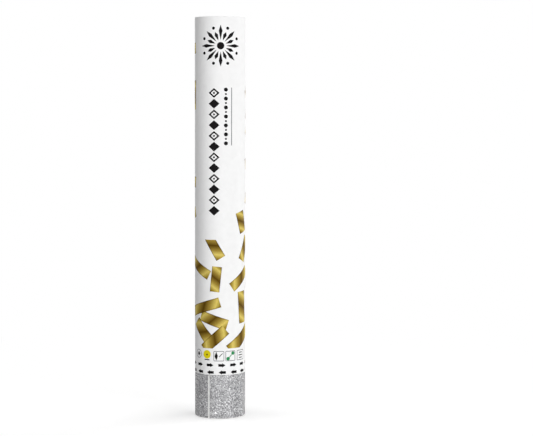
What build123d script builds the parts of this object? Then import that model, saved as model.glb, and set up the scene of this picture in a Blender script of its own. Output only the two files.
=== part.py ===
"""Twist confetti popper: a card barrel on a card grip that turns.

The grip carries a bottle of compressed air. Turning it lifts the plug out of the bottle's valve,
and the air drives the wad and the foil strips out of the barrel.
Millimetres, +Z up, origin at the centre of the foot, front towards -Y.
"""

import os
from math import sqrt

from build123d import *

# Card tubes and their paper wraps
overall_length = 400.0
tube_bore = 46.0
tube_wall = 2.0
wrap_thickness = 0.25
barrel_seam_width = 0.5
grip_length = 43.0
grip_wrap_margin = 0.3
grip_seam_width = 2.0
grip_seam_angle = 24.7  # degrees left of the front
front_angle = 270.0  # degrees from +X
back_angle = 90.0
quarter_turn = 90.0
full_turn = 360.0

# Clearances
glue_gap = 0.05
seal_gap = 0.1
turn_gap = 0.2
end_gap = 0.3
slide_gap = 0.3
cut_overrun = 1.0

# Slip ring between grip and barrel
slip_ring_thickness = 0.6
slip_ring_inset = 0.4

# Base cap, open downwards
base_recess = 0.6
base_cap_height = 9.2
base_cap_wall = 1.6
base_cap_floor = 1.8
base_cap_chamfer = 0.4
base_hub_radius = 5.0
base_hub_wall = 1.6
base_rib_count = 6
base_rib_thickness = 1.4
base_rib_setback = 1.5

# Air bottle, its card sleeve and its bung
bottle_sleeve_thickness = 1.5
bottle_sleeve_length = 31.0
bottle_length = 128.0
bottle_wall = 1.6
bottle_heel_radius = 6.0
bottle_foot_width = 2.4
push_up_height = 6.0
push_up_crown_radius = 7.0
neck_radius = 12.4
neck_height = 17.0
neck_ring_lift = 1.2
neck_ring_height = 2.0
neck_ring_width = 2.6
bung_hole_radius = 3.0
bung_flange_width = 2.0
bung_head_height = 2.0
bung_lip_width = 1.2
bung_lip_height = 1.2

# Valve head and gasket
gasket_thickness = 1.0
head_wall = 3.0
head_skirt_lift = 1.5
flange_thickness = 3.0
seat_radius = 7.0
seat_length = 12.0
counterbore_step = 1.2
nozzle_wall = 2.8

# Valve plug, O-ring and cam pin
carrier_height = 5.0
carrier_sink = 0.5
o_ring_section = 2.4
wing_count = 4
wing_thickness = 2.4
wing_setback = 0.5
plug_core_radius = 2.5
stem_radius = 5.0
stem_above_pin = 4.5
pin_above_carrier = 6.0
pin_diameter = 3.0
pin_inset = 0.4

# Release collar and retaining ring
twist_angle = 120.0
cam_lift = 5.0
cam_slot_count = 2
cam_slot_gap = 0.25
cam_pocket_relief = 0.2
cam_slot_roof = 3.0
collar_wall = 1.5
collar_web = 2.5
cam_sleeve_wall = 3.6
retaining_ring_height = 3.0
retaining_ring_gap = 0.8

# Wad, foil strips and muzzle closure
wad_recess_gap = 2.2
wad_roof = 6.0
wad_chamfer = 1.0
wad_disc_thickness = 1.5
strip_length = 46.0
strip_width = 14.0
sheaf_thickness = 0.8
sheaf_spacing = 2.1
strip_gap = 0.3
tier_turn = 60.0  # degrees
muzzle_recess = 1.5
muzzle_disc_thickness = 3.0
muzzle_disc_chamfer = 0.5
muzzle_facing_thickness = 0.3

# Radii of the tubes
bore_radius = tube_bore / 2
tube_radius = bore_radius + tube_wall
wrap_inner_radius = tube_radius + glue_gap
skin_radius = wrap_inner_radius + wrap_thickness
glued_radius = bore_radius - glue_gap
sliding_radius = bore_radius - slide_gap

# Heights of grip and barrel
barrel_bottom = grip_length + slip_ring_thickness + end_gap
barrel_length = overall_length - barrel_bottom
grip_wrap_length = barrel_bottom - turn_gap - grip_wrap_margin
base_cap_top = base_recess + base_cap_height

# Bottle
sleeve_inner_radius = glued_radius - bottle_sleeve_thickness
bottle_radius = sleeve_inner_radius - glue_gap
bottle_top = base_cap_top + bottle_length
bottle_crown = base_cap_top + push_up_height
bottle_foot_radius = bottle_radius - bottle_heel_radius
shoulder_radius = bottle_radius - neck_radius
neck_bottom = bottle_top - neck_height
shoulder_bottom = neck_bottom - shoulder_radius
neck_ring_bottom = neck_bottom + neck_ring_lift
neck_ring_top = neck_ring_bottom + neck_ring_height

# Valve
flange_bottom = bottle_top + gasket_thickness
flange_top = flange_bottom + flange_thickness
seat_top = flange_bottom + seat_length
counterbore_radius = seat_radius + counterbore_step
nozzle_radius = counterbore_radius + nozzle_wall
head_skirt_radius = neck_radius + glue_gap + head_wall
head_skirt_bottom = neck_ring_top + head_skirt_lift
plug_radius = seat_radius - seal_gap
carrier_top = seat_top - carrier_sink
carrier_bottom = carrier_top - carrier_height
o_ring_height = carrier_top - carrier_height / 2
o_ring_mid_radius = plug_radius - o_ring_section / 2
groove_radius = o_ring_mid_radius - o_ring_section / 2 - glue_gap
groove_height = o_ring_section + 2 * seal_gap
pin_radius = pin_diameter / 2
pin_height = carrier_top + pin_above_carrier
stem_top = pin_height + stem_above_pin

# Release collar
web_bottom = flange_top + end_gap
web_top = web_bottom + collar_web
collar_bottom = flange_bottom - end_gap
collar_inner_radius = glued_radius - collar_wall
flange_radius = collar_inner_radius - turn_gap
cam_sleeve_inner = nozzle_radius + turn_gap
cam_sleeve_outer = cam_sleeve_inner + cam_sleeve_wall
cam_slot_radius = pin_radius + cam_slot_gap
cam_sleeve_top = pin_height + cam_lift + cam_slot_radius + cam_slot_roof
nozzle_top = cam_sleeve_top
retaining_ring_radius = head_skirt_radius + retaining_ring_gap
pin_length = 2 * (cam_sleeve_outer - pin_inset)

# Wad and muzzle
wad_recess_radius = cam_sleeve_outer + wad_recess_gap
wad_recess_top = max(cam_sleeve_top, stem_top + cam_lift) + wad_recess_gap
wad_top = wad_recess_top + wad_roof
charge_bottom = wad_top + wad_disc_thickness
facing_bottom = overall_length - muzzle_recess - muzzle_facing_thickness
muzzle_disc_bottom = facing_bottom - muzzle_disc_thickness

# Barrel: wound card tube
with BuildPart() as barrel_tube:
    with BuildSketch(Plane.XY.offset(barrel_bottom)):
        Circle(tube_radius)
        Circle(bore_radius, mode=Mode.SUBTRACT)
    extrude(amount=barrel_length)
barrel_tube.part.label = "barrel_tube"

# White paper round the barrel, butted at the back
with BuildPart() as barrel_wrap:
    with BuildSketch(Plane.XY.offset(barrel_bottom)):
        Circle(skin_radius)
        Circle(wrap_inner_radius, mode=Mode.SUBTRACT)
        with PolarLocations(tube_radius, 1, start_angle=back_angle):
            Rectangle(tube_wall, barrel_seam_width, mode=Mode.SUBTRACT)
    extrude(amount=barrel_length)
barrel_wrap.part.label = "barrel_wrap"

# Grip: short card tube
with BuildPart() as grip_tube:
    with BuildSketch():
        Circle(tube_radius)
        Circle(bore_radius, mode=Mode.SUBTRACT)
    extrude(amount=grip_length)
grip_tube.part.label = "grip_tube"

# Glitter paper round the grip, with an open seam left of the front
with BuildPart() as grip_wrap:
    with BuildSketch(Plane.XY.offset(grip_wrap_margin)):
        Circle(skin_radius)
        Circle(wrap_inner_radius, mode=Mode.SUBTRACT)
        with PolarLocations(tube_radius, 1, start_angle=front_angle - grip_seam_angle):
            Rectangle(tube_wall, grip_seam_width, mode=Mode.SUBTRACT)
    extrude(amount=grip_wrap_length)
grip_wrap.part.label = "grip_wrap"

# Slip ring on the grip's upper end
with BuildPart() as slip_ring:
    with BuildSketch(Plane.XY.offset(grip_length)):
        Circle(tube_radius - slip_ring_inset)
        Circle(bore_radius + slip_ring_inset, mode=Mode.SUBTRACT)
    extrude(amount=slip_ring_thickness)
slip_ring.part.label = "slip_ring"

# Base cap: skirt and floor, stiffened by a hub and radial ribs
rib_length = glued_radius - base_cap_wall - base_hub_radius + base_hub_wall
rib_height = base_cap_height - base_rib_setback
with BuildPart() as base_cap:
    with BuildSketch(Plane.XY.offset(base_recess)):
        Circle(glued_radius)
        Circle(glued_radius - base_cap_wall, mode=Mode.SUBTRACT)
    extrude(amount=base_cap_height)
    with BuildSketch(Plane.XY.offset(base_cap_top)):
        Circle(glued_radius)
    extrude(amount=-base_cap_floor)
    with BuildSketch(Plane.XY.offset(base_cap_top)):
        with PolarLocations(base_hub_radius - base_hub_wall / 2, base_rib_count):
            Rectangle(rib_length, base_rib_thickness, align=(Align.MIN, Align.CENTER))
        Circle(base_hub_radius)
    extrude(amount=-rib_height)
    with BuildSketch(Plane.XY.offset(base_recess)):
        Circle(base_hub_radius - base_hub_wall)
    extrude(amount=base_cap_height - base_cap_floor, mode=Mode.SUBTRACT)
    chamfer(base_cap.edges().group_by(Axis.Z)[0], length=base_cap_chamfer)
base_cap.part.label = "base_cap"

# Card sleeve that centres the bottle in the grip
with BuildPart() as bottle_sleeve:
    with BuildSketch(Plane.XY.offset(base_cap_top)):
        Circle(glued_radius)
        Circle(sleeve_inner_radius, mode=Mode.SUBTRACT)
    extrude(amount=bottle_sleeve_length)
bottle_sleeve.part.label = "bottle_sleeve"

# Air bottle: blown shell with a push-up base and a ringed neck
with BuildPart() as air_bottle:
    with BuildSketch(Plane.XZ):
        with BuildLine():
            Polyline(
                (0, bottle_crown),
                (push_up_crown_radius, bottle_crown),
                (bottle_foot_radius - bottle_foot_width, base_cap_top),
                (bottle_foot_radius, base_cap_top),
            )
            CenterArc(
                (bottle_foot_radius, base_cap_top + bottle_heel_radius),
                bottle_heel_radius,
                start_angle=-quarter_turn,
                arc_size=quarter_turn,
            )
            Line((bottle_radius, base_cap_top + bottle_heel_radius), (bottle_radius, shoulder_bottom))
            CenterArc((neck_radius, shoulder_bottom), shoulder_radius, 0, quarter_turn)
            Polyline(
                (neck_radius, neck_bottom),
                (neck_radius, bottle_top),
                (0, bottle_top),
                (0, bottle_crown),
            )
        make_face()
    revolve(axis=Axis.Z)
    offset(amount=-bottle_wall, openings=air_bottle.faces().sort_by(Axis.Z)[-1])
    with BuildSketch(Plane.XY.offset(neck_ring_bottom)):
        Circle(neck_radius + neck_ring_width)
        Circle(neck_radius - bottle_wall / 2, mode=Mode.SUBTRACT)
    extrude(amount=neck_ring_height)
    with BuildSketch(Plane.XY.offset(bottle_crown)):
        Circle(bung_hole_radius)
    extrude(amount=bottle_wall, mode=Mode.SUBTRACT)
air_bottle.part.label = "air_bottle"

# Rubber bung snapped into the bottle's base
bung_stem_radius = bung_hole_radius - glue_gap
with BuildPart() as fill_bung:
    with BuildSketch(Plane.XY.offset(bottle_crown)):
        Circle(bung_hole_radius + bung_lip_width)
    extrude(amount=-bung_lip_height)
    with BuildSketch(Plane.XY.offset(bottle_crown)):
        Circle(bung_stem_radius)
    extrude(amount=bottle_wall)
    with BuildSketch(Plane.XY.offset(bottle_crown + bottle_wall)):
        Circle(bung_hole_radius + bung_flange_width)
    extrude(amount=bung_head_height)
fill_bung.part.label = "fill_bung"

# Gasket on the bottle's rim
with BuildPart() as head_gasket:
    with BuildSketch(Plane.XY.offset(bottle_top)):
        Circle(neck_radius)
        Circle(neck_radius - bottle_wall, mode=Mode.SUBTRACT)
    extrude(amount=gasket_thickness)
head_gasket.part.label = "head_gasket"

# Valve head: skirt over the neck, thrust flange, nozzle with seat and pin slots
with BuildPart() as valve_head:
    with BuildSketch(Plane.XZ):
        with BuildLine():
            Polyline(
                (seat_radius, flange_bottom),
                (head_skirt_radius - head_wall, flange_bottom),
                (head_skirt_radius - head_wall, head_skirt_bottom),
                (head_skirt_radius, head_skirt_bottom),
                (head_skirt_radius, flange_bottom),
                (flange_radius, flange_bottom),
                (flange_radius, flange_top),
                (nozzle_radius, flange_top),
                (nozzle_radius, nozzle_top),
                (counterbore_radius, nozzle_top),
                (counterbore_radius, seat_top),
                (seat_radius, seat_top),
                close=True,
            )
        make_face()
    revolve(axis=Axis.Z)
    with BuildSketch(Plane.YZ):
        with Locations((0, pin_height)):
            Circle(pin_radius + turn_gap)
            Rectangle(
                2 * (pin_radius + turn_gap),
                nozzle_top - pin_height + cut_overrun,
                align=(Align.CENTER, Align.MIN),
            )
    extrude(amount=nozzle_radius + cut_overrun, both=True, mode=Mode.SUBTRACT)
valve_head.part.label = "valve_head"

# Valve plug: guide wings, grooved carrier and cross-drilled stem
with BuildPart() as valve_plug:
    with BuildSketch(Plane.XY.offset(flange_bottom + wing_setback)):
        Circle(plug_core_radius)
        with PolarLocations(0, wing_count):
            Rectangle(plug_radius, wing_thickness, align=(Align.MIN, Align.CENTER))
        Circle(plug_radius, mode=Mode.INTERSECT)
    extrude(amount=carrier_bottom - flange_bottom - wing_setback)
    with BuildSketch(Plane.XZ):
        with BuildLine():
            Polyline(
                (0, carrier_bottom),
                (plug_radius, carrier_bottom),
                (plug_radius, o_ring_height - groove_height / 2),
                (groove_radius, o_ring_height - groove_height / 2),
                (groove_radius, o_ring_height + groove_height / 2),
                (plug_radius, o_ring_height + groove_height / 2),
                (plug_radius, carrier_top),
                (stem_radius, carrier_top),
                (stem_radius, stem_top),
                (0, stem_top),
                close=True,
            )
        make_face()
    revolve(axis=Axis.Z)
    with BuildSketch(Plane.YZ):
        with Locations((0, pin_height)):
            Circle(pin_radius + glue_gap)
    extrude(amount=stem_radius + cut_overrun, both=True, mode=Mode.SUBTRACT)
valve_plug.part.label = "valve_plug"

# O-ring in the plug's groove
with BuildPart() as plug_o_ring:
    with BuildSketch(Plane.XZ):
        with Locations((o_ring_mid_radius, o_ring_height)):
            Circle(o_ring_section / 2)
    revolve(axis=Axis.Z)
plug_o_ring.part.label = "plug_o_ring"

# Steel cross pin that rides in the cam slots
with BuildPart() as cam_pin:
    with BuildSketch(Plane.YZ.offset(-pin_length / 2)):
        with Locations((0, pin_height)):
            Circle(pin_radius)
    extrude(amount=pin_length)
cam_pin.part.label = "cam_pin"

# Path of the pin through the collar as the grip turns and the plug rises, with a round pocket
# at each end; used as a cutter
cam_slot_mid_radius = (cam_sleeve_inner + cam_sleeve_outer) / 2
cam_slot_depth = cam_sleeve_wall + 2 * cut_overrun
with BuildPart() as cam_slot:
    with BuildLine(Plane.XY.offset(pin_height)) as cam_path:
        Helix(cam_lift * full_turn / twist_angle, cam_lift, cam_slot_mid_radius, lefthand=True)
    with BuildSketch(Plane(cam_path.line @ 0, x_dir=(1, 0, 0), z_dir=cam_path.line % 0)):
        Rectangle(cam_slot_depth, 2 * cam_slot_radius)
    sweep(path=cam_path.line, is_frenet=True)
    for path_end in (cam_path.line @ 0, cam_path.line @ 1):
        outward = Vector(path_end.X, path_end.Y, 0)
        with BuildSketch(Plane(path_end, z_dir=outward)):
            Circle(cam_slot_radius + cam_pocket_relief)
        extrude(amount=cam_slot_depth / 2 + cut_overrun, both=True)

# Release collar: ring and web glued in the barrel, sleeve with two helical cam slots
with BuildPart() as release_collar:
    with BuildSketch(Plane.XZ):
        with BuildLine():
            Polyline(
                (cam_sleeve_inner, web_bottom),
                (collar_inner_radius, web_bottom),
                (collar_inner_radius, collar_bottom),
                (glued_radius, collar_bottom),
                (glued_radius, web_top),
                (cam_sleeve_outer, web_top),
                (cam_sleeve_outer, cam_sleeve_top),
                (cam_sleeve_inner, cam_sleeve_top),
                close=True,
            )
        make_face()
    revolve(axis=Axis.Z)
    with PolarLocations(0, cam_slot_count):
        add(cam_slot.part, mode=Mode.SUBTRACT)
release_collar.part.label = "release_collar"

# Ring glued under the collar, which keeps the valve head's flange in it
with BuildPart() as retaining_ring:
    with BuildSketch(Plane.XY.offset(collar_bottom)):
        Circle(glued_radius)
        Circle(retaining_ring_radius, mode=Mode.SUBTRACT)
    extrude(amount=-retaining_ring_height)
retaining_ring.part.label = "retaining_ring"

# Pulp wad over the valve, standing on the collar
with BuildPart() as pusher_wad:
    with BuildSketch(Plane.XY.offset(web_top)):
        Circle(sliding_radius)
    extrude(amount=wad_top - web_top)
    chamfer(pusher_wad.edges(), length=wad_chamfer)
    with BuildSketch(Plane.XY.offset(web_top)):
        Circle(wad_recess_radius)
    extrude(amount=wad_recess_top - web_top, mode=Mode.SUBTRACT)
pusher_wad.part.label = "pusher_wad"

# Chipboard disc on the wad
with BuildPart() as wad_disc:
    with BuildSketch(Plane.XY.offset(wad_top)):
        Circle(sliding_radius)
    extrude(amount=wad_disc_thickness)
wad_disc.part.label = "wad_disc"

# Places of the upright sheaves of foil strips across the bore: columns of loosely packed rows
column_pitch = strip_width + strip_gap
sheaf_pitch = sheaf_thickness + sheaf_spacing
column_count = int((2 * sliding_radius + strip_gap) // column_pitch)
sheaf_places = []
for column in range(column_count):
    column_x = (column - (column_count - 1) / 2) * column_pitch
    column_reach = abs(column_x) + strip_width / 2
    column_room = 2 * sqrt(max(sliding_radius**2 - column_reach**2, 0))
    row_count = int((column_room + sheaf_spacing) // sheaf_pitch)
    for row in range(row_count):
        sheaf_places.append((column_x, (row - (row_count - 1) / 2) * sheaf_pitch))

# Tiers of sheaves, each turned against the one below
tier_pitch = strip_length + strip_gap
tier_count = int((muzzle_disc_bottom - charge_bottom) // tier_pitch)
confetti_tiers = []
for tier in range(tier_count):
    tier_plane = Plane.XY.offset(charge_bottom + tier * tier_pitch).rotated((0, 0, tier * tier_turn))
    with BuildPart() as confetti_tier:
        with BuildSketch(tier_plane):
            with Locations(*sheaf_places):
                Rectangle(strip_width, sheaf_thickness)
        extrude(amount=strip_length)
    confetti_tier.part.label = f"confetti_tier_{tier + 1}"
    confetti_tiers.append(confetti_tier)

# Chipboard disc pressed into the muzzle
with BuildPart() as muzzle_disc:
    with BuildSketch(Plane.XY.offset(muzzle_disc_bottom)):
        Circle(bore_radius - turn_gap)
    extrude(amount=muzzle_disc_thickness)
    chamfer(muzzle_disc.edges().group_by(Axis.Z)[0], length=muzzle_disc_chamfer)
muzzle_disc.part.label = "muzzle_disc"

# White paper face on the muzzle disc
with BuildPart() as muzzle_facing:
    with BuildSketch(Plane.XY.offset(facing_bottom)):
        Circle(bore_radius - turn_gap)
    extrude(amount=muzzle_facing_thickness)
muzzle_facing.part.label = "muzzle_facing"

# One STEP file per piece
pieces = [
    barrel_tube,
    barrel_wrap,
    grip_tube,
    grip_wrap,
    slip_ring,
    base_cap,
    bottle_sleeve,
    air_bottle,
    fill_bung,
    head_gasket,
    valve_head,
    valve_plug,
    plug_o_ring,
    cam_pin,
    release_collar,
    retaining_ring,
    pusher_wad,
    wad_disc,
    *confetti_tiers,
    muzzle_disc,
    muzzle_facing,
]
os.makedirs("parts", exist_ok=True)
for piece in pieces:
    export_step(piece.part, f"parts/{piece.part.label}.step")
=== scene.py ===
import math
import random

import bmesh
import bpy
from mathutils import Matrix, Vector


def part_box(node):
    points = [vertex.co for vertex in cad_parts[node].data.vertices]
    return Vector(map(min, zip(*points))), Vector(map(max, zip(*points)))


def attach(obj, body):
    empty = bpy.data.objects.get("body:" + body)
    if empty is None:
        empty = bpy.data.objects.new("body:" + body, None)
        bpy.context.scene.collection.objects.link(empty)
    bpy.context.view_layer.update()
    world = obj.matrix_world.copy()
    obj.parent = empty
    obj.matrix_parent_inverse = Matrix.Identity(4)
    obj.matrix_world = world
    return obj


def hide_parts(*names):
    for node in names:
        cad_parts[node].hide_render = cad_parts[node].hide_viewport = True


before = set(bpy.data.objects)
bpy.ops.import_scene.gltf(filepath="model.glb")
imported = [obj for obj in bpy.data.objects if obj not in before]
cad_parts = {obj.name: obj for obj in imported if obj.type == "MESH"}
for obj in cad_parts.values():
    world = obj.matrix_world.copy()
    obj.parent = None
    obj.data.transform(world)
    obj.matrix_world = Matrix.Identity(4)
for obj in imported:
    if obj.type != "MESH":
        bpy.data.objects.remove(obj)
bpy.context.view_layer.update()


# Sizes of the tube, in millimetres as everything that is modelled below

metresPerMm = 0.001
cardWall = 2.0


def boxMm(node):
    return [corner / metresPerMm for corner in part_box(node)]


wrapLow, wrapHigh = boxMm("barrel_wrap")
skinRadius = wrapHigh.x
barrelBottom = wrapLow.z
barrelTop = wrapHigh.z
tubeRadius = boxMm("barrel_tube")[1].x
boreRadius = tubeRadius - cardWall


# Shared modelling

weldReach = 1e-3  # points nearer to each other than this become one
cutReach = 1e-5


def onTube(degrees, height, radius):
    # a place on the tube, counted to the right of the front
    angle = math.radians(degrees)
    return Vector((radius * math.sin(angle), -radius * math.cos(angle), height))


def turnProfile(points, steps, closed=True, slitWidth=0.0, slitDegrees=0.0):
    # turns an outline of (radius, height) points about the tube's axis, all round or up to an open slit
    bm = bmesh.new()
    corners = [bm.verts.new((radius, 0, height)) for radius, height in points]
    pairs = list(zip(corners, corners[1:]))
    if closed:
        pairs.append((corners[-1], corners[0]))
    edges = [bm.edges.new(pair) for pair in pairs]
    slitAngle = slitWidth / max(radius for radius, height in points)
    bmesh.ops.spin(
        bm,
        geom=corners + edges,
        cent=(0, 0, 0),
        axis=(0, 0, 1),
        angle=math.tau - slitAngle,
        steps=steps,
        use_merge=slitWidth == 0,
    )
    bmesh.ops.remove_doubles(bm, verts=bm.verts, dist=weldReach)
    if slitWidth:
        openEdges = [edge for edge in bm.edges if edge.is_boundary]
        bmesh.ops.holes_fill(bm, edges=openEdges, sides=0)
        turn = math.radians(slitDegrees - 90) + slitAngle / 2
        bmesh.ops.rotate(bm, cent=(0, 0, 0), matrix=Matrix.Rotation(turn, 3, "Z"), verts=bm.verts)
    bmesh.ops.recalc_face_normals(bm, faces=bm.faces)
    return bm


def cutThrough(bm, place, across, **cleared):
    # a straight cut through everything, which may clear one side of it
    bmesh.ops.bisect_plane(
        bm,
        geom=bm.verts[:] + bm.edges[:] + bm.faces[:],
        dist=cutReach,
        plane_co=place,
        plane_no=across,
        **cleared,
    )


def joinInto(whole, part):
    # many small shapes are made apart, which keeps the operators quick, and then joined
    mesh = bpy.data.meshes.new("joinedPart")
    part.to_mesh(mesh)
    part.free()
    whole.from_mesh(mesh)
    bpy.data.meshes.remove(mesh)


def placePiece(bm, name, finish, body, replaced=(), sharpDegrees=35):
    # millimetres to metres, then a named object on its body
    bmesh.ops.scale(bm, vec=(metresPerMm,) * 3, verts=bm.verts)
    mesh = bpy.data.meshes.new(name)
    bm.to_mesh(mesh)
    bm.free()
    mesh.shade_smooth()
    mesh.set_sharp_from_angle(angle=math.radians(sharpDegrees))
    mesh.materials.append(finish)
    piece = bpy.data.objects.new(name, mesh)
    bpy.context.scene.collection.objects.link(piece)
    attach(piece, body)
    if replaced:
        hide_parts(*replaced)
    print("made", name, "with", sum(len(face.vertices) - 2 for face in mesh.polygons), "triangles")


# Shared finish tools

mixFrom, mixTo, mixResult = 6, 7, 2  # the Mix node's colour sockets, whose names it uses more than once


def hexColour(code):
    # sRGB hex to the linear values that the nodes take
    shares = [int(code[place:place + 2], 16) / 255 for place in (0, 2, 4)]
    return [s / 12.92 if s <= 0.04045 else ((s + 0.055) / 1.055) ** 2.4 for s in shares] + [1.0]


def addNode(tree, kind, inputs=None, **settings):
    # an input is linked if it is a socket, and otherwise set
    node = tree.nodes.new("ShaderNode" + kind)
    for name, value in settings.items():
        setattr(node, name, value)
    for socket, value in (inputs or {}).items():
        if isinstance(value, bpy.types.NodeSocket):
            tree.links.new(value, node.inputs[socket])
        else:
            node.inputs[socket].default_value = value
    return node


def setRamp(node, stops):
    # stops are (place, sRGB hex)
    ramp = node.color_ramp
    while len(ramp.elements) < len(stops):
        ramp.elements.new(0.5)
    for element, (place, code) in zip(ramp.elements, stops):
        element.position = place
        element.color = hexColour(code)
    return node.outputs["Color"]


def newFinish(name, **values):
    # a Principled surface with its constant values on its own sockets
    material = bpy.data.materials.new(name)
    material.use_nodes = True
    shader = material.node_tree.nodes["Principled BSDF"]
    for socket, value in values.items():
        shader.inputs[socket.replace("_", " ")].default_value = value
    return material, material.node_tree, shader


def perMm(size):
    # texture scale for a pattern of that many millimetres, on Object coordinates in metres
    return 1 / (size * metresPerMm)


def grainFinish(
    name, dark, light, grain, roughness, relief, metallic=0.0, ior=1.5, spread=0.12, specular=0.5
):
    # a moulded, felted or printed surface: two close tones, uneven gloss and a fine relief
    material, tree, shader = newFinish(name, Metallic=metallic, IOR=ior, Specular_IOR_Level=specular)
    place = addNode(tree, "TexCoord").outputs["Object"]
    noise = addNode(
        tree,
        "TexNoise",
        {"Vector": place, "Scale": perMm(grain), "Detail": 5.0, "Roughness": 0.6},
    )
    tones = addNode(tree, "ValToRGB", {"Fac": noise.outputs["Fac"]})
    tree.links.new(setRamp(tones, ((0.32, dark), (0.68, light))), shader.inputs["Base Color"])
    gloss = addNode(
        tree,
        "MapRange",
        {"Value": noise.outputs["Fac"], "To Min": roughness - spread, "To Max": roughness + spread},
    )
    tree.links.new(gloss.outputs["Result"], shader.inputs["Roughness"])
    bump = addNode(
        tree,
        "Bump",
        {"Height": noise.outputs["Fac"], "Strength": 0.6, "Distance": relief * metresPerMm},
    )
    tree.links.new(bump.outputs["Normal"], shader.inputs["Normal"])
    return material


# Finishes of paper, card, gold and glitter

def coatedPaper():
    # matt-coated art paper: bright, a very soft sheen, a trace of fibre, drawn coarse so that it shows
    material, tree, shader = newFinish("mattCoatedArtPaper", IOR=1.45, Specular_IOR_Level=0.06)
    place = addNode(tree, "TexCoord").outputs["Object"]
    cloud = addNode(tree, "TexNoise", {"Vector": place, "Scale": perMm(6.0), "Detail": 3.0})
    fibre = addNode(tree, "TexNoise", {"Vector": place, "Scale": perMm(0.7), "Detail": 4.0})
    tones = addNode(tree, "ValToRGB", {"Fac": cloud.outputs["Fac"]})
    tree.links.new(setRamp(tones, ((0.3, "F5F5F5"), (0.7, "F9F9F9"))), shader.inputs["Base Color"])
    gloss = addNode(tree, "MapRange", {"Value": cloud.outputs["Fac"], "To Min": 0.62, "To Max": 0.78})
    tree.links.new(gloss.outputs["Result"], shader.inputs["Roughness"])
    bump = addNode(
        tree,
        "Bump",
        {"Height": fibre.outputs["Fac"], "Strength": 0.25, "Distance": 0.02 * metresPerMm},
    )
    tree.links.new(bump.outputs["Normal"], shader.inputs["Normal"])
    return material


def woundCard():
    # spiral-wound grey board: dull and flecked, a white liner outside, a dark helical joint in the bore
    material, tree, shader = newFinish("spiralWoundCard", IOR=1.45, Roughness=0.8)
    place = addNode(tree, "TexCoord").outputs["Object"]
    axes = addNode(tree, "SeparateXYZ", {"Vector": place})
    flat = addNode(tree, "CombineXYZ", {"X": axes.outputs["X"], "Y": axes.outputs["Y"]})
    radius = addNode(tree, "VectorMath", {0: flat.outputs["Vector"]}, operation="LENGTH")
    fibre = addNode(
        tree,
        "TexNoise",
        {"Vector": place, "Scale": perMm(0.9), "Detail": 6.0, "Roughness": 0.65},
    )
    board = addNode(tree, "ValToRGB", {"Fac": fibre.outputs["Fac"]})
    boardColour = setRamp(board, ((0.3, "8E7A62"), (0.55, "A8937A"), (0.75, "B9A58C")))
    lap = addNode(tree, "TexGradient", {"Vector": place}, gradient_type="RADIAL")
    climb = addNode(tree, "Math", {0: axes.outputs["Z"], 1: perMm(110.0)}, operation="MULTIPLY")
    helix = addNode(tree, "Math", {0: lap.outputs["Fac"], 1: climb.outputs["Value"]}, operation="ADD")
    joint = addNode(tree, "Math", {0: helix.outputs["Value"], 1: 0.5}, operation="PINGPONG")
    jointTone = addNode(tree, "ValToRGB", {"Fac": joint.outputs["Value"]})
    jointColour = setRamp(jointTone, ((0.0, "6E5C47"), (0.012, "FFFFFF")))
    inBore = addNode(
        tree,
        "MapRange",
        {
            "Value": radius.outputs["Value"],
            "From Min": (boreRadius + 0.05) * metresPerMm,
            "From Max": (boreRadius + 0.15) * metresPerMm,
            "To Min": 0.8,
            "To Max": 0.0,
        },
    )
    marked = addNode(
        tree,
        "Mix",
        {"Factor": inBore.outputs["Result"], mixFrom: boardColour, mixTo: jointColour},
        data_type="RGBA",
        blend_type="MULTIPLY",
    )
    liner = addNode(
        tree,
        "MapRange",
        {
            "Value": radius.outputs["Value"],
            "From Min": (tubeRadius - 0.12) * metresPerMm,
            "From Max": (tubeRadius - 0.08) * metresPerMm,
        },
    )
    lined = addNode(
        tree,
        "Mix",
        {
            "Factor": liner.outputs["Result"],
            mixFrom: marked.outputs[mixResult],
            mixTo: hexColour("ECECEA"),
        },
        data_type="RGBA",
    )
    tree.links.new(lined.outputs[mixResult], shader.inputs["Base Color"])
    bump = addNode(
        tree,
        "Bump",
        {"Height": fibre.outputs["Fac"], "Strength": 0.6, "Distance": 0.06 * metresPerMm},
    )
    tree.links.new(bump.outputs["Normal"], shader.inputs["Normal"])
    return material


def goldInk():
    # process-printed gold: flat ink that carries slanted highlight bands and a darker edge line of its own
    material, tree, shader = newFinish("printedGoldInk", IOR=1.45, Roughness=0.6, Specular_IOR_Level=0.04)
    uv = addNode(tree, "UVMap", uv_map="stripUv").outputs["UV"]
    axes = addNode(tree, "SeparateXYZ", {"Vector": uv})
    bands = addNode(tree, "ValToRGB", {"Fac": axes.outputs["X"]})
    bandColour = setRamp(
        bands,
        (
            (0.0, "6C4F12"),
            (0.1, "AA9036"),
            (0.21, "E6D06E"),
            (0.355, "A58A38"),
            (0.52, "5B4004"),
            (0.68, "A38838"),
            (0.83, "E4CE6A"),
            (0.92, "A48C34"),
            (1.0, "6A5318"),
        ),
    )
    edges = addNode(tree, "ValToRGB", {"Fac": axes.outputs["Y"]})
    edgeColour = setRamp(edges, ((0.0, "9C8C68"), (0.12, "FFFFFF"), (0.88, "FFFFFF"), (1.0, "9C8C68")))
    printed = addNode(
        tree,
        "Mix",
        {"Factor": 1.0, mixFrom: bandColour, mixTo: edgeColour},
        data_type="RGBA",
        blend_type="MULTIPLY",
    )
    # the trace of a print screen, drawn coarser than a real one so that it shows
    place = addNode(tree, "TexCoord").outputs["Object"]
    screen = addNode(tree, "TexNoise", {"Vector": place, "Scale": perMm(0.8), "Detail": 2.0})
    screenTone = addNode(tree, "ValToRGB", {"Fac": screen.outputs["Fac"]})
    screenColour = setRamp(screenTone, ((0.3, "EDEDED"), (0.6, "FFFFFF")))
    screened = addNode(
        tree,
        "Mix",
        {"Factor": 1.0, mixFrom: printed.outputs[mixResult], mixTo: screenColour},
        data_type="RGBA",
        blend_type="MULTIPLY",
    )
    tree.links.new(screened.outputs[mixResult], shader.inputs["Base Color"])
    return material


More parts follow.
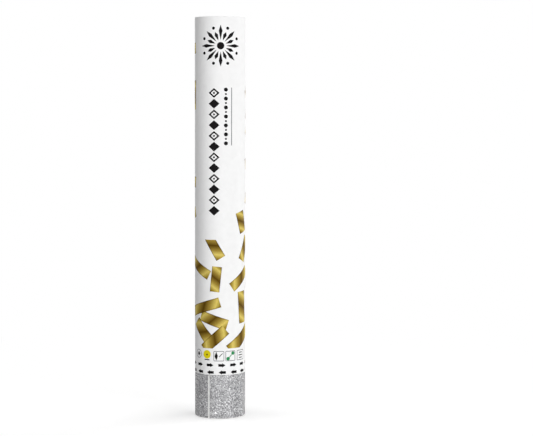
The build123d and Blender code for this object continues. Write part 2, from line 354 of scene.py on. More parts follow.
def goldFoil():
    # vacuum-metallised film, gold lacquered: a mirror with faint crinkles
    material, tree, shader = newFinish("metallisedGoldFilm", Metallic=1.0, Roughness=0.2)
    place = addNode(tree, "TexCoord").outputs["Object"]
    tint = addNode(tree, "TexNoise", {"Vector": place, "Scale": perMm(14.0), "Detail": 2.0})
    tones = addNode(tree, "ValToRGB", {"Fac": tint.outputs["Fac"]})
    tree.links.new(setRamp(tones, ((0.3, "CCB34E"), (0.7, "EDD77B"))), shader.inputs["Base Color"])
    crinkle = addNode(
        tree,
        "TexNoise",
        {"Vector": place, "Scale": perMm(5.0), "Detail": 2.0, "Distortion": 0.6},
    )
    bump = addNode(
        tree,
        "Bump",
        {"Height": crinkle.outputs["Fac"], "Strength": 0.5, "Distance": 0.3 * metresPerMm},
    )
    tree.links.new(bump.outputs["Normal"], shader.inputs["Normal"])
    return material


def glitterFlake():
    # die-cut metallised hexagons under lacquer: each flake throws its own glint, and its random grey, from
    # dark to white, is partly a random tone and partly painted shade and painted glint
    material, tree, shader = newFinish(
        "silverGlitterFlake", Metallic=0.25, Roughness=0.3, Specular_IOR_Level=0.15
    )
    glintShade = addNode(tree, "Attribute", attribute_name="flakeGlintShade").outputs["Fac"]
    glintShadeRamp = addNode(tree, "ValToRGB", {"Fac": glintShade})
    tree.links.new(
        # the dark greys are partly painted shade, the white partly a painted glint
        setRamp(glintShadeRamp, ((0.0, "5E5E60"), (0.45, "A4A4A6"), (0.8, "C4C4C6"), (1.0, "FFFFFF"))),
        shader.inputs["Base Color"],
    )
    return material


def glitterGround():
    # the glue coat between the flakes, filled with finer glitter: a speckled grey whose pale and dark cells
    # are partly a random tone and partly painted glint and painted shade
    material, tree, shader = newFinish(
        "glitterGlueCoat", Metallic=0.25, Roughness=0.4, Specular_IOR_Level=0.15
    )
    place = addNode(tree, "TexCoord").outputs["Object"]
    grit = addNode(tree, "TexVoronoi", {"Vector": place, "Scale": perMm(0.8)})
    level = addNode(tree, "SeparateColor", {"Color": grit.outputs["Color"]})
    glintShadeRamp = addNode(tree, "ValToRGB", {"Fac": level.outputs["Red"]})
    # pale cells are partly painted glints of the finer glitter, dark cells partly painted shade
    tree.links.new(
        setRamp(glintShadeRamp, ((0.0, "6C6C6E"), (0.6, "9C9C9E"), (1.0, "E2E2E4"))),
        shader.inputs["Base Color"],
    )
    bump = addNode(
        tree,
        "Bump",
        {"Height": grit.outputs["Distance"], "Strength": 0.5, "Distance": 0.1 * metresPerMm},
    )
    tree.links.new(bump.outputs["Normal"], shader.inputs["Normal"])
    return material


paperFinish = coatedPaper()
cardFinish = woundCard()
goldInkFinish = goldInk()
goldFoilFinish = goldFoil()
flakeFinish = glitterFlake()
groundFinish = glitterGround()


# Plain finishes: grain and relief in millimetres, coarser than the real ones where those would not show

# process inks: matt and even, with the trace of a print screen
ink = {"grain": 0.8, "roughness": 0.62, "relief": 0.01, "ior": 1.45, "specular": 0.05}
blackInkFinish = grainFinish("blackProcessInk", "100F10", "1A1819", **ink)
greyInkFinish = grainFinish("greyProcessInk", "76767A", "848488", **ink)
yellowInkFinish = grainFinish("yellowProcessInk", "DCCB14", "EADB22", **ink)
greenInkFinish = grainFinish("greenProcessInk", "2B7F4C", "3A9A60", **ink)

# uncoated paper: soft white, clouded with fibre
facingFinish = grainFinish(
    "uncoatedWhitePaper", "DEDDD9", "F4F3F0", grain=2.2, roughness=0.75, relief=0.09, ior=1.45, specular=0.2
)
# chipboard: warm grey, flecked and dull
chipboardFinish = grainFinish(
    "greyChipboard", "8B7C69", "B3A48F", grain=1.1, roughness=0.85, relief=0.08, ior=1.45
)
# moulded pulp: rough and clotted, with no sheen
pulpFinish = grainFinish(
    "mouldedPaperPulp", "8E877C", "B5AEA2", grain=1.6, roughness=0.9, relief=0.25, ior=1.45, spread=0.08
)
# polypropylene: black with a satin skin
blackPlasticFinish = grainFinish(
    "mouldedBlackPolypropylene", "232325", "333336", grain=0.5, roughness=0.45, relief=0.02, ior=1.49
)
# acetal: milky white with a soft sheen
whitePlasticFinish = grainFinish(
    "mouldedWhiteAcetal", "DCDCD8", "EAEAE6", grain=0.6, roughness=0.4, relief=0.015, ior=1.48
)
# nylon: brick red with a soft sheen
redPlasticFinish = grainFinish(
    "mouldedRedNylon", "A3281B", "BC3A2A", grain=0.6, roughness=0.42, relief=0.015, ior=1.53
)
# nitrile rubber: black and nearly dull
rubberFinish = grainFinish(
    "mouldedNitrileRubber", "161616", "262626", grain=0.4, roughness=0.65, relief=0.03, ior=1.52
)
# drawn steel: bright, a little uneven
steelFinish = grainFinish(
    "drawnSteelWire", "A9AAAD", "C4C5C8", grain=0.4, roughness=0.3, relief=0.01, metallic=1.0
)
# blown polyester: pale blue grey, glossy and gently wavy
bottleFinish = grainFinish(
    "blownPolyesterBottle",
    "B7C6C9",
    "CDD9DB",
    grain=9.0,
    roughness=0.15,
    relief=0.05,
    ior=1.57,
    spread=0.05,
)
print("finishes ready")


# Wound card tubes of barrel and grip, with their plies showing on the cut ends

card = {"plies": 5, "plyGroove": 0.07, "steps": 240, "sharpDegrees": 60}


def cardEnd(height, groove):
    # the cut end from the bore to the outside, dipped a little between the plies
    points = []
    for step in range(2 * card["plies"] + 1):
        share = step / (2 * card["plies"])
        dip = 0.0 if step % 2 else groove
        points.append((boreRadius + share * cardWall, height - dip))
    return points


def cardTube(bottom, top):
    upper = cardEnd(top, card["plyGroove"])
    lower = cardEnd(bottom, -card["plyGroove"])
    return turnProfile(upper + lower[::-1], card["steps"])


placePiece(
    cardTube(barrelBottom, barrelTop),
    "barrelCard",
    cardFinish,
    "barrel",
    ["barrel_tube"],
    card["sharpDegrees"],
)

gripCardLow, gripCardHigh = boxMm("grip_tube")
placePiece(
    cardTube(gripCardLow.z, gripCardHigh.z),
    "gripCard",
    cardFinish,
    "grip",
    ["grip_tube"],
    card["sharpDegrees"],
)


# Paper wraps: rounded cut edges, butted on a slit

wraps = {"glueGap": 0.05, "edgeRound": 0.06, "steps": 240, "barrelSlit": 0.5, "barrelSlitDegrees": 180}


def paperWrap(outer, bottom, top, slitWidth, slitDegrees):
    inner = tubeRadius + wraps["glueGap"]
    rounding = wraps["edgeRound"]
    outline = (
        (inner, bottom),
        (outer - rounding, bottom),
        (outer, bottom + rounding),
        (outer, top - rounding),
        (outer - rounding, top),
        (inner, top),
    )
    return turnProfile(outline, wraps["steps"], slitWidth=slitWidth, slitDegrees=slitDegrees)


placePiece(
    paperWrap(skinRadius, barrelBottom, barrelTop, wraps["barrelSlit"], wraps["barrelSlitDegrees"]),
    "barrelPaper",
    paperFinish,
    "barrel",
    ["barrel_wrap"],
)


# Grip: glitter paper with an open seam, flakes scattered over its glue coat

grip = {
    "seamWidth": 2.0,
    "seamDegrees": -24.7,
    "groundSink": 0.06,
    "flakes": 7500,
    "sides": 6,
    "smallest": 0.34,
    "largest": 0.55,
    "thickness": 0.05,
    "tiltSpread": 12,  # degrees, one standard deviation
    "rimMargin": 0.55,
    "seamMargin": 0.05,
    "batch": 250,
    "sharpDegrees": 20,
    "seed": 11,
}
gripLow, gripHigh = boxMm("grip_wrap")
groundRadius = skinRadius - grip["groundSink"]
placePiece(
    paperWrap(groundRadius, gripLow.z, gripHigh.z, grip["seamWidth"], grip["seamDegrees"]),
    "gripGlitterPaper",
    groundFinish,
    "grip",
    ["grip_wrap"],
)


def scatterFlakes():
    rng = random.Random(grip["seed"])
    keepOff = math.degrees((grip["seamWidth"] / 2 + grip["seamMargin"]) / skinRadius)
    flakeRadius = skinRadius - grip["groundSink"] / 2
    whole = bmesh.new()
    for batch in range(grip["flakes"] // grip["batch"]):
        part = bmesh.new()
        glintShadeLayer = part.verts.layers.float.new("flakeGlintShade")
        for flake in range(grip["batch"]):
            size = rng.uniform(grip["smallest"], grip["largest"])
            degrees = grip["seamDegrees"] + rng.uniform(keepOff, 360 - keepOff)
            height = rng.uniform(gripLow.z + grip["rimMargin"], gripHigh.z - grip["rimMargin"])
            tilt = [math.radians(rng.gauss(0, grip["tiltSpread"])) for axis in range(2)]
            roll = rng.uniform(0, math.tau)
            # a random grey for each flake, partly a random tone and partly painted shade and painted glint
            glintShade = rng.random()
            facing = onTube(degrees, 0, 1).to_track_quat("Z", "Y").to_matrix().to_4x4()
            matrix = (
                Matrix.Translation(onTube(degrees, height, flakeRadius))
                @ facing
                @ Matrix.Rotation(tilt[0], 4, "X")
                @ Matrix.Rotation(tilt[1], 4, "Y")
                @ Matrix.Rotation(roll, 4, "Z")
            )
            made = bmesh.ops.create_cone(
                part,
                cap_ends=True,
                segments=grip["sides"],
                radius1=size,
                radius2=size,
                depth=grip["thickness"],
                matrix=matrix,
            )
            for vert in made["verts"]:
                vert[glintShadeLayer] = glintShade
        joinInto(whole, part)
    return whole


placePiece(
    scatterFlakes(),
    "gripGlitterFlakes",
    flakeFinish,
    "grip",
    sharpDegrees=grip["sharpDegrees"],
)


# Printing on the barrel: shapes drawn flat, then rolled round the paper as thin film

film = {"facetWidth": 0.8, "sink": 0.01, "thickness": 0.03}


def girth(degrees):
    # a flat drawing's x runs along the girth from the front, its y up the barrel
    return math.radians(degrees) * skinRadius


def oblong(width, tall):
    return (-width / 2, -tall / 2), (width / 2, -tall / 2), (width / 2, tall / 2), (-width / 2, tall / 2)


def lozenge(width, tall):
    return (0, -tall / 2), (width / 2, 0), (0, tall / 2), (-width / 2, 0)


def flatShape(bm, points, centre, turn=0.0):
    # a flat face from a few corners, turned clockwise by degrees and moved to its place
    place = Matrix.Translation((centre[0], centre[1], 0)) @ Matrix.Rotation(-math.radians(turn), 4, "Z")
    face = bm.faces.new([bm.verts.new(place @ Vector((x, y, 0))) for x, y in points])
    face.normal_update()
    return face


def flatDisc(bm, radius, centre, segments):
    made = bmesh.ops.create_circle(
        bm, cap_ends=True, segments=segments, radius=radius, matrix=Matrix.Translation((*centre, 0))
    )
    return made["verts"][0].link_faces[0]


def hollowOut(bm, face, line):
    # leaves only an outline of that width
    bmesh.ops.inset_region(bm, faces=[face], thickness=line, use_boundary=True, use_even_offset=True)
    bmesh.ops.delete(bm, geom=[face], context="FACES")


def rollPrint(bm, lift=0.0):
    # cuts the flat shapes into narrow facets, rolls them round the paper and makes them a film thick
    low = min(vert.co.x for vert in bm.verts)
    high = max(vert.co.x for vert in bm.verts)
    for cut in range(math.ceil(low / film["facetWidth"]), math.ceil(high / film["facetWidth"])):
        cutThrough(bm, (cut * film["facetWidth"], 0, 0), (1, 0, 0))
    slit = girth(wraps["barrelSlitDegrees"])
    slitSide = wraps["barrelSlit"] / 2
    for side in (-slitSide, slitSide):
        cutThrough(bm, (slit + side, 0, 0), (1, 0, 0))
    overSlit = [face for face in bm.faces if abs(face.calc_center_median().x - slit) < slitSide]
    bmesh.ops.delete(bm, geom=overSlit, context="FACES")  # nothing is printed across the paper's butt joint
    inner = skinRadius - film["sink"]
    for vert in bm.verts:
        vert.co = onTube(math.degrees(vert.co.x / skinRadius), vert.co.y, inner)
    made = bmesh.ops.extrude_face_region(bm, geom=bm.faces[:], use_keep_orig=True)
    outside = [part for part in made["geom"] if isinstance(part, bmesh.types.BMVert)]
    swell = (skinRadius + film["thickness"] + lift) / inner
    bmesh.ops.scale(bm, vec=(swell, swell, 1), verts=outside)
    bmesh.ops.recalc_face_normals(bm, faces=bm.faces)


def printPiece(bm, name, finish):
    rollPrint(bm)
    placePiece(bm, name, finish, "barrel")


# Twist arrows: two rows, one for each hand

arrows = {
    "count": 13,
    "upper": 53.8,
    "lower": 46.6,
    "upperDegrees": 5.8,
    "lowerDegrees": 6.8,
    "length": 7.2,
    "headLength": 3.2,
    "headHeight": 4.3,
    "shaft": 2.6,
}


def arrowRows():
    bm = bmesh.new()
    tip = arrows["length"] / 2
    neck = tip - arrows["headLength"]
    shaft = arrows["shaft"] / 2
    head = arrows["headHeight"] / 2
    outline = (
        (-tip, -shaft),
        (neck, -shaft),
        (neck, -head),
        (tip, 0),
        (neck, head),
        (neck, shaft),
        (-tip, shaft),
    )
    for number in range(arrows["count"]):
        step = number * 360 / arrows["count"]
        flatShape(bm, outline, (girth(arrows["upperDegrees"] + step), arrows["upper"]))
        flatShape(bm, outline, (girth(arrows["lowerDegrees"] + step), arrows["lower"]), 180)
    return bm


printPiece(arrowRows(), "printArrows", blackInkFinish)


# Scattered strips: the front ones listed one by one, the rest strewn round the back, fewer towards the
# muzzle

strips = {
    "foot": 70.6,
    "columnFoot": 179.4,
    "columnReach": 40,
    "topMargin": 0.2,
    "layers": 12,
    "layerRise": 0.006,
    "bandSlant": 0.64,
    "bandReach": 1.24,
    "front": (  # degrees, height, turn, length, width
        (60, 196.5, -17, 21.5, 12.2),
        (-12.6, 173, -30.6, 28, 10.1),
        (73, 169.5, 28, 26, 10.5),
        (-56, 151.2, -62, 32, 9.9),
        (-8, 140, 6, 25.3, 9.8),
        (57, 140, 55, 30, 10.0),
        (62, 111, -4, 32, 12.0),
        (-14, 98.7, -71.5, 30, 10.8),
        (-39.6, 86, -43, 30, 11.5),
        (-11.5, 79.4, 48.6, 30.7, 11.0),
        (-40, 111.5, 73, 38, 10.2),
        (56.4, 79, 55, 36, 11.5),
        (-102, 368, 83, 28, 10.8),
        (-82, 323, 1, 29, 10.8),
        (-102, 237.7, -82, 28, 10.8),
        (-102, 202, 70, 28, 10.8),
        (110, 332.2, 45, 28, 10.8),
        (109.5, 310, 30, 28, 10.8),
        (113.2, 280.9, -50, 28, 10.8),
        (113.8, 257.3, 75, 28, 10.8),
        (113.8, 216.8, -75, 28, 10.8),
    ),
    "backFrom": 82,
    "backTo": 278,
    "backHeights": (72, 396),
    "backThrows": 6000,
    "backTurns": (-88, 88),
    "backLengths": (24, 34),
    "backWidths": (9.8, 11.2),
    "footSpacing": 20.0,
    "muzzleSpacing": 40.0,
    "seed": 5,
}


def stripPlaces():
    # front places first, then seeded throws that keep their distance and stay off the front
    places = list(strips["front"])
    rng = random.Random(strips["seed"])
    taken = [(girth(degrees % 360), height) for degrees, height, *rest in places]
    for throw in range(strips["backThrows"]):
        degrees = rng.uniform(strips["backFrom"], strips["backTo"])
        height = rng.uniform(*strips["backHeights"])
        turn = rng.uniform(*strips["backTurns"])
        length = rng.uniform(*strips["backLengths"])
        width = rng.uniform(*strips["backWidths"])
        angle = math.radians(turn)
        reach = (length * abs(math.sin(angle)) + width * abs(math.cos(angle))) / 2
        share = (height - barrelBottom) / (barrelTop - barrelBottom)
        apart = strips["footSpacing"] + share * (strips["muzzleSpacing"] - strips["footSpacing"])
        spot = (girth(degrees), height)
        offFront = girth(strips["backFrom"]) + reach < spot[0] < girth(strips["backTo"]) - reach
        if offFront and all(math.dist(spot, other) > apart for other in taken):
            places.append((degrees, height, turn, length, width))
            taken.append(spot)
    return places


def goldStrips():
    whole = bmesh.new()
    for order, (degrees, height, turn, length, width) in enumerate(stripPlaces()):
        bm = bmesh.new()
        uvLayer = bm.loops.layers.uv.new("stripUv")
        corners = oblong(width, length)
        face = flatShape(bm, corners, (girth(degrees), height), turn)
        for loop, (x, y) in zip(face.loops, corners):
            band = (y + strips["bandSlant"] * x) / (length * strips["bandReach"]) + 0.5
            loop[uvLayer].uv = (band, x / width + 0.5)
        underColumn = abs(degrees) < strips["columnReach"]
        top = strips["columnFoot"] if underColumn else barrelTop - strips["topMargin"]
        cutThrough(bm, (0, strips["foot"], 0), (0, 1, 0), clear_inner=True)
        cutThrough(bm, (0, top, 0), (0, 1, 0), clear_outer=True)
        layer = order % strips["layers"]  # strips that cross lie in different layers
        rollPrint(bm, layer * strips["layerRise"])
        joinInto(whole, bm)
    return whole


placePiece(goldStrips(), "printGoldStrips", goldInkFinish, "barrel")


# Burst ornament near the muzzle

burst = {
    "degrees": 3,
    "height": 371.0,
    "rays": 16,
    "hub": 3.6,
    "hubSegments": 32,
    "start": 5.6,
    "longRay": 20.5,
    "shortRay": 14.5,
    "rayWidth": 3.6,
    "bellyShare": 0.62,
    "dot": 1.5,
    "dotSegments": 20,
    "dotRadius": 18.6,
}


def burstPrint():
    bm = bmesh.new()
    centre = Vector((girth(burst["degrees"]), burst["height"]))
    flatDisc(bm, burst["hub"], centre, burst["hubSegments"])
    half = burst["rayWidth"] / 2
    for ray in range(burst["rays"]):
        turn = ray * 360 / burst["rays"]
        end = burst["longRay"] if ray % 2 == 0 else burst["shortRay"]
        belly = burst["start"] + burst["bellyShare"] * (end - burst["start"])
        kite = ((0, burst["start"]), (half, belly), (0, end), (-half, belly))
        flatShape(bm, kite, centre, turn)
        if ray % 2:
            angle = math.radians(turn)
            beyond = centre + burst["dotRadius"] * Vector((math.sin(angle), math.cos(angle)))
            flatDisc(bm, burst["dot"], beyond, burst["dotSegments"])
    return bm


printPiece(burstPrint(), "printBurst", blackInkFinish)


# Column of lozenges up the front, a column of dots beside it and a thin rule

lozenges = {
    "degrees": -12,
    "bottom": 203.0,
    "top": 330.0,
    "count": 12,
    "width": 11.2,
    "gap": 0.9,
    "line": 1.5,
    "pip": 1.0,
    "pipSegments": 20,
}


def lozengeColumn():
    bm = bmesh.new()
    pitch = (lozenges["top"] - lozenges["bottom"]) / lozenges["count"]
    for number in range(lozenges["count"]):
        centre = (girth(lozenges["degrees"]), lozenges["bottom"] + (number + 0.5) * pitch)
        face = flatShape(bm, lozenge(lozenges["width"], pitch - lozenges["gap"]), centre)
        if number % 2:
            hollowOut(bm, face, lozenges["line"])
            flatDisc(bm, lozenges["pip"], centre, lozenges["pipSegments"])
    return bm


printPiece(lozengeColumn(), "printLozenges", blackInkFinish)

dots = {
    "degrees": 15,
    "bottom": 273.0,
    "top": 330.0,
    "count": 13,
    "large": 2.0,
    "small": 1.0,
    "segments": 24,
}


def dotColumn():
    bm = bmesh.new()
    lowest = dots["bottom"] + dots["large"]
    highest = dots["top"] - dots["large"]
    for number in range(dots["count"]):
        height = lowest + (highest - lowest) * number / (dots["count"] - 1)
        radius = dots["small"] if number % 2 else dots["large"]
        flatDisc(bm, radius, (girth(dots["degrees"]), height), dots["segments"])
    return bm


printPiece(dotColumn(), "printDots", blackInkFinish)

rule = {"degrees": 28.5, "bottom": 273.0, "top": 330.0, "width": 0.8}


def thinRule():
    bm = bmesh.new()
    centre = (girth(rule["degrees"]), (rule["bottom"] + rule["top"]) / 2)
    flatShape(bm, oblong(rule["width"], rule["top"] - rule["bottom"]), centre)
    return bm


printPiece(thinRule(), "printRule", greyInkFinish)


# Row of plain marks above the arrows: ring, yellow disc and three frames, each with a simple figure

marks = {
    "height": 63.0,
    "line": 0.65,
    "roundRise": 1.4,
    "roundSegments": 40,
    "ringDegrees": -54.6,
    "ringRadius": 4.4,
    "ringLozenge": (4.0, 5.4),
    "discDegrees": -29.4,
    "discRadius": 4.3,
    "pip": 1.0,
    "bar": (5.6, 1.1),
    "barDrop": 3.8,
    "frameDegrees": (-1, 26.3, 55.7),
    "frame": (10.8, 10.3),
    "corner": 1.0,
    "cornerSegments": 4,
    "slant": 45,
    "tallLozenge": (3.4, 9.0),
    "tallLozengeShift": -2.6,
    "dash": (0.7, 5.0),
    "dashShift": (2.0, 1.0),
    "spot": 1.8,
    "spotShift": 2.7,
    "spotSegments": 20,
    "link": (0.7, 4.2),
    "stroke": (6.0, 0.9),
    "strokeTaper": 1.4,
    "strokePitch": 2.6,
}
roundHeight = marks["height"] + marks["roundRise"]
ringCentre = (girth(marks["ringDegrees"]), roundHeight)
discCentre = (girth(marks["discDegrees"]), roundHeight)
frameMiddles = [girth(degrees) for degrees in marks["frameDegrees"]]
firstFrame, secondFrame, thirdFrame = frameMiddles


def roundedFrame(bm, centre):
    face = flatShape(bm, oblong(*marks["frame"]), centre)
    made = bmesh.ops.bevel(
        bm,
        geom=list(face.verts),
        affect="VERTICES",
        offset=marks["corner"],
        segments=marks["cornerSegments"],
        profile=0.5,
        material=-1,
    )
    whole = max((f for vert in made["verts"] for f in vert.link_faces), key=lambda f: f.calc_area())
    hollowOut(bm, whole, marks["line"])


def greyMarks():
    bm = bmesh.new()
    for middle in frameMiddles:
        roundedFrame(bm, (middle, marks["height"]))
    ring = flatDisc(bm, marks["ringRadius"], ringCentre, marks["roundSegments"])
    hollowOut(bm, ring, marks["line"])
    return bm


printPiece(greyMarks(), "printMarkFrames", greyInkFinish)


def yellowMark():
    bm = bmesh.new()
    flatDisc(bm, marks["discRadius"], discCentre, marks["roundSegments"])
    return bm


printPiece(yellowMark(), "printYellowDisc", yellowInkFinish)


def blackMarks():
    bm = bmesh.new()
    flatShape(bm, oblong(*marks["bar"]), (discCentre[0], marks["height"] - marks["barDrop"]))
    flatDisc(bm, marks["pip"], discCentre, marks["spotSegments"])
    flatShape(bm, lozenge(*marks["tallLozenge"]), (firstFrame + marks["tallLozengeShift"], marks["height"]))
    right, up = marks["dashShift"]
    flatShape(bm, oblong(*marks["dash"]), (firstFrame + right, marks["height"] + up), marks["slant"])
    length, width = marks["stroke"]
    for row in (-1, 0, 1):
        stroke = oblong(length - marks["strokeTaper"] * abs(row), width)
        flatShape(bm, stroke, (thirdFrame, marks["height"] + marks["strokePitch"] * row))
    flatShape(bm, lozenge(*marks["ringLozenge"]), ringCentre)
    return bm


printPiece(blackMarks(), "printBlackMarks", blackInkFinish)


def greenMarks():
    bm = bmesh.new()
    for shift in (-marks["spotShift"], marks["spotShift"]):
        flatDisc(bm, marks["spot"], (secondFrame + shift, marks["height"] + shift), marks["spotSegments"])
    flatShape(bm, oblong(*marks["link"]), (secondFrame, marks["height"]), marks["slant"])
    return bm


printPiece(greenMarks(), "printGreenMarks", greenInkFinish)


# Muzzle closure: chipboard disc with a white paper face

muzzle = {
    "steps": 120,
    "edge": 0.35,
    "paperEdge": 0.12,
    "dish": 0.1,
    "dishCurve": ((0.8, 0.3), (0.45, 0.8), (0.0, 1.0)),  # shares of the radius and of the dish
}
boardLow, boardHigh = boxMm("muzzle_disc")
faceLow, faceHigh = boxMm("muzzle_facing")


def roundDisc(radius, bottom, top, edge, dish):
    outline = [
        (0, bottom),
        (radius - edge, bottom),
        (radius, bottom + edge),
        (radius, top - edge),
        (radius - edge, top),
    ]
    for radiusShare, dishShare in muzzle["dishCurve"]:
        outline.append((radius * radiusShare, top - dish * dishShare))
    return turnProfile(outline, muzzle["steps"], closed=False)


placePiece(
    roundDisc(boardHigh.x, boardLow.z, boardHigh.z, muzzle["edge"], 0.0),
    "muzzleBoard",
    chipboardFinish,
    "muzzle",
    ["muzzle_disc"],
)
placePiece(
    roundDisc(faceHigh.x, faceLow.z, faceHigh.z, muzzle["paperEdge"], muzzle["dish"]),
    "muzzlePaper",
    facingFinish,
    "muzzle",
    ["muzzle_facing"],
)


# Wad that drives the strips, and the chipboard disc on it

wad = {"steps": 120, "recessRadius": 17.0, "recessDepth": 23.6, "edge": 1.0, "discEdge": 0.3}
wadLow, wadHigh = boxMm("pusher_wad")
discLow, discHigh = boxMm("wad_disc")


def wadShape():
    edge = wad["edge"]
    roof = wadLow.z + wad["recessDepth"]
    outline = (
        (0, roof),
        (wad["recessRadius"] - edge, roof),
        (wad["recessRadius"], roof - edge),
        (wad["recessRadius"], wadLow.z + edge / 2),
        (wad["recessRadius"] + edge / 2, wadLow.z),
        (wadHigh.x - edge, wadLow.z),
        (wadHigh.x, wadLow.z + edge),
        (wadHigh.x, wadHigh.z - edge),
        (wadHigh.x - edge, wadHigh.z),
        (0, wadHigh.z),
    )
    return turnProfile(outline, wad["steps"], closed=False)


placePiece(wadShape(), "wadPulp", pulpFinish, "charge", ["pusher_wad"])
placePiece(
    roundDisc(discHigh.x, discLow.z, discHigh.z, wad["discEdge"], 0.0),
    "wadBoard",
    chipboardFinish,
    "charge",
    ["wad_disc"],
)


# Foil strips packed upright in three columns, tier over tier: close stacks, each strip nesting in the next

foil = {
    "tiers": 4,
    "boreReach": 22.6,
    "width": 13.8,
    "trim": 1.6,
    "lift": 0.64,  # less than half of the trim, so that no strip leaves its tier
    "columns": (-1, 0, 1),
    "columnPitch": 14.3,
    "pitch": 0.3,
    "thickness": 0.18,
    "tierTurn": 60,
    "segments": 8,
    "bow": 0.42,
    "cup": 0.5,
    "yaw": 1.4,
    "lean": 0.35,
    "waveRows": (24, 45),
    "seed": 23,
}


def foilColumn(rng, middle, low, high):
    # straight strips side by side, cut, then cupped, bowed and turned by slow waves through the stack
    bm = bmesh.new()
    side = abs(middle) + foil["width"] / 2
    yaw = math.tan(math.radians(foil["yaw"]))
    sway = foil["bow"] + foil["cup"] / 2 + yaw * foil["width"] / 2
    room = math.sqrt(foil["boreReach"] ** 2 - side ** 2) - sway
    rows = int(2 * room / foil["pitch"]) + 1
    length = high - low - foil["trim"]
    centre = (low + high) / 2
    first = -(rows - 1) / 2 * foil["pitch"]
    size = Matrix.Diagonal((foil["width"], foil["thickness"], length, 1))
    for row in range(rows):
        place = Matrix.Translation((middle, first + row * foil["pitch"], centre))
        bmesh.ops.create_cube(bm, size=1, matrix=place @ size)
    cutThrough(bm, (middle, 0, 0), (1, 0, 0))
    for cut in range(1, foil["segments"]):
        cutThrough(bm, (0, 0, centre + (cut / foil["segments"] - 0.5) * length), (0, 0, 1))
    waves = [(rng.uniform(*foil["waveRows"]), rng.uniform(0, math.tau)) for bend in range(3)]
    lifts = [rng.uniform(-foil["lift"], foil["lift"]) for row in range(rows)]
    leans = [rng.uniform(-foil["lean"], foil["lean"]) for row in range(rows)]
    for vert in bm.verts:
        row = round((vert.co.y - first) / foil["pitch"])
        bow, turn, skew = (math.sin(math.tau * row / period + phase) for period, phase in waves)
        across = vert.co.x - middle
        cup = foil["cup"] * (0.5 - abs(2 * across / foil["width"]))
        along = (vert.co.z - centre) / length
        vert.co.y += cup + foil["bow"] * bow * math.cos(math.pi * along + skew) + yaw * turn * across
        vert.co.x += leans[row] * along
        vert.co.z += lifts[row]
    bmesh.ops.recalc_face_normals(bm, faces=bm.faces)
    return bm


def foilTier(number, node):
    rng = random.Random(foil["seed"] + number)
    low, high = boxMm(node)
    whole = bmesh.new()
    for column in foil["columns"]:
        joinInto(whole, foilColumn(rng, column * foil["columnPitch"], low.z, high.z))
    turn = Matrix.Rotation(math.radians(number * foil["tierTurn"]), 3, "Z")
    bmesh.ops.rotate(whole, cent=(0, 0, 0), matrix=turn, verts=whole.verts)
    return whole


for number in range(foil["tiers"]):
    tierNode = f"confetti_tier_{number + 1}"
    placePiece(
        foilTier(number, tierNode),
        f"foilTier{number + 1}",
        goldFoilFinish,
        "charge",
        [tierNode],
    )


# Pieces that keep their own shape

keptFinishes = {
    "slip_ring": whitePlasticFinish,
    "base_cap": blackPlasticFinish,
    "bottle_sleeve": cardFinish,
    "air_bottle": bottleFinish,
    "fill_bung": rubberFinish,
    "head_gasket": rubberFinish,
    "valve_head": whitePlasticFinish,
    "valve_plug": redPlasticFinish,
    "plug_o_ring": rubberFinish,
    "cam_pin": steelFinish,
    "release_collar": whitePlasticFinish,
    "retaining_ring": whitePlasticFinish,
}
for nodeName, finish in keptFinishes.items():
    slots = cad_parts[nodeName].data.materials
    slots.clear()
    slots.append(finish)
print("kept pieces finished")


# Stage, in metres: white floor that keeps the shadow, white surround, softboxes round the tube and above it

stage = {
    "white": "FFFFFF",
    "floorColour": "E7E7E7",
    "floorGlow": 0.33,
    "floorBounce": 0.28,
    "floorSize": 6.0,
    "floorDrop": 0.0002,
    "shadowReach": (0.25, 0.6),
    "ambient": 0.04,
    "lampDistance": 6.0,
    "lampSize": (2.9, 1.3),
    "lamps": (  # degrees from the front, elevation, share of white on a surface that faces the lamp
        (-18, 6, 0.428),
        (40, 6, 0.566),
        (122, 6, 0.515),
        (197, 6, 0.38),
        (0, 90, 0.65),
    ),
}
white = hexColour(stage["white"])


def rayShare(tree):
    # 1 for rays that show the background: to the camera, in reflections and through clear material
    path = addNode(tree, "LightPath")
    seen = addNode(
        tree,
        "Math",
        {0: path.outputs["Is Camera Ray"], 1: path.outputs["Is Glossy Ray"]},
        operation="MAXIMUM",
    )
    shown = addNode(
        tree,
        "Math",
        {0: seen.outputs["Value"], 1: path.outputs["Is Transmission Ray"]},
        operation="MAXIMUM",
    )
    return shown.outputs["Value"]


def floorFinish():
    # painted studio floor: pale with a soft shadow round the foot, fading to plain white, clear from below
    material = bpy.data.materials.new("paleStudioFloor")
    material.use_nodes = True
    tree = material.node_tree
    tree.nodes.clear()
    place = addNode(tree, "TexCoord").outputs["Object"]
    away = addNode(tree, "VectorMath", {0: place}, operation="LENGTH")
    fadeStart, fadeEnd = stage["shadowReach"]
    fade = addNode(
        tree,
        "MapRange",
        {"Value": away.outputs["Value"], "From Min": fadeStart, "From Max": fadeEnd},
        interpolation_type="SMOOTHSTEP",
    )
    pale = addNode(tree, "BsdfDiffuse", {"Color": hexColour(stage["floorColour"])})
    glow = addNode(tree, "Emission", {"Color": white, "Strength": stage["floorGlow"]})
    near = addNode(tree, "AddShader", {0: pale.outputs["BSDF"], 1: glow.outputs["Emission"]})
    far = addNode(tree, "Emission", {"Color": white, "Strength": 1.0})
    shown = addNode(
        tree,
        "MixShader",
        {"Fac": fade.outputs["Result"], 1: near.outputs["Shader"], 2: far.outputs["Emission"]},
    )
    bounce = addNode(tree, "Emission", {"Color": white, "Strength": stage["floorBounce"]})
    upper = addNode(
        tree,
        "MixShader",
        {"Fac": rayShare(tree), 1: bounce.outputs["Emission"], 2: shown.outputs["Shader"]},
    )
    under = addNode(tree, "BsdfTransparent")
    side = addNode(tree, "NewGeometry").outputs["Backfacing"]
    whole = addNode(tree, "MixShader", {"Fac": side, 1: upper.outputs["Shader"], 2: under.outputs["BSDF"]})
    addNode(tree, "OutputMaterial", {"Surface": whole.outputs["Shader"]})
    return material


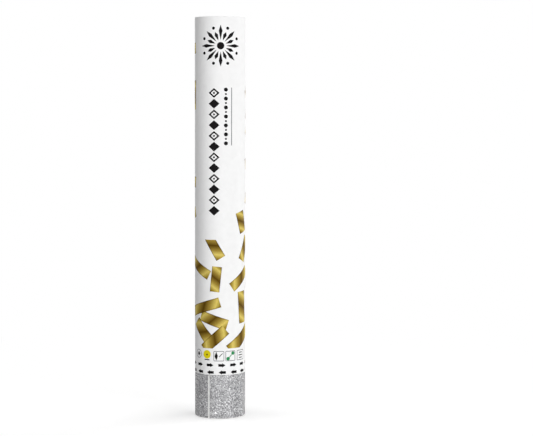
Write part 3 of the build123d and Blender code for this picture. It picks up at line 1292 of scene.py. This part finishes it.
def layFloor():
    bm = bmesh.new()
    bmesh.ops.create_grid(bm, x_segments=1, y_segments=1, size=stage["floorSize"] / 2)
    bmesh.ops.translate(bm, vec=(0, 0, -stage["floorDrop"]), verts=bm.verts)
    mesh = bpy.data.meshes.new("studioFloor")
    bm.to_mesh(mesh)
    bm.free()
    mesh.materials.append(floorFinish())
    floor = bpy.data.objects.new("studioFloor", mesh)
    bpy.context.scene.collection.objects.link(floor)


def lightWorld():
    world = bpy.data.worlds.new("studioSurround")
    bpy.context.scene.world = world
    world.use_nodes = True
    tree = world.node_tree
    tree.nodes.clear()
    shown = addNode(tree, "Background", {"Color": white, "Strength": 1.0})
    dim = addNode(tree, "Background", {"Color": white, "Strength": stage["ambient"]})
    whole = addNode(
        tree,
        "MixShader",
        {"Fac": rayShare(tree), 1: dim.outputs["Background"], 2: shown.outputs["Background"]},
    )
    addNode(tree, "OutputWorld", {"Surface": whole.outputs["Shader"]})


def hangLamps():
    aim = Vector((0, 0, barrelTop * metresPerMm / 2))
    for degrees, elevation, share in stage["lamps"]:
        rise = math.radians(elevation)
        away = onTube(degrees, 0, math.cos(rise)) + Vector((0, 0, math.sin(rise)))
        lamp = bpy.data.lights.new("softbox", "AREA")
        lamp.shape = "RECTANGLE"
        lamp.size, lamp.size_y = stage["lampSize"]
        lamp.energy = share * (math.pi * stage["lampDistance"]) ** 2  # gives the share at that distance
        lampObject = bpy.data.objects.new("softbox", lamp)
        lampObject.location = aim + away * stage["lampDistance"]
        lampObject.rotation_euler = away.to_track_quat("Z", "Y").to_euler()
        lampObject.visible_camera = False
        bpy.context.scene.collection.objects.link(lampObject)


layFloor()
lightWorld()
hangLamps()
bpy.context.scene.view_settings.view_transform = "Standard"
print("stage lit")


# Camera: a long lens, a little above the middle of the tube

camera = {
    "place": (0.0468, -1.5, 0.295),
    "aim": (0.0468, 0.0, 0.1996),
    "roll": 0.115,  # degrees
    "lens": 100.7,
    "sensor": 36.0,
}
cameraData = bpy.data.cameras.new("photoCamera")
cameraData.lens = camera["lens"]
cameraData.sensor_width = camera["sensor"]
cameraObject = bpy.data.objects.new("photoCamera", cameraData)
cameraObject.location = camera["place"]
sight = Vector(camera["aim"]) - Vector(camera["place"])
upright = sight.to_track_quat("-Z", "Y").to_matrix()
cameraObject.rotation_euler = (upright @ Matrix.Rotation(math.radians(camera["roll"]), 3, "Z")).to_euler()
bpy.context.scene.collection.objects.link(cameraObject)
bpy.context.scene.camera = cameraObject
print("camera set")
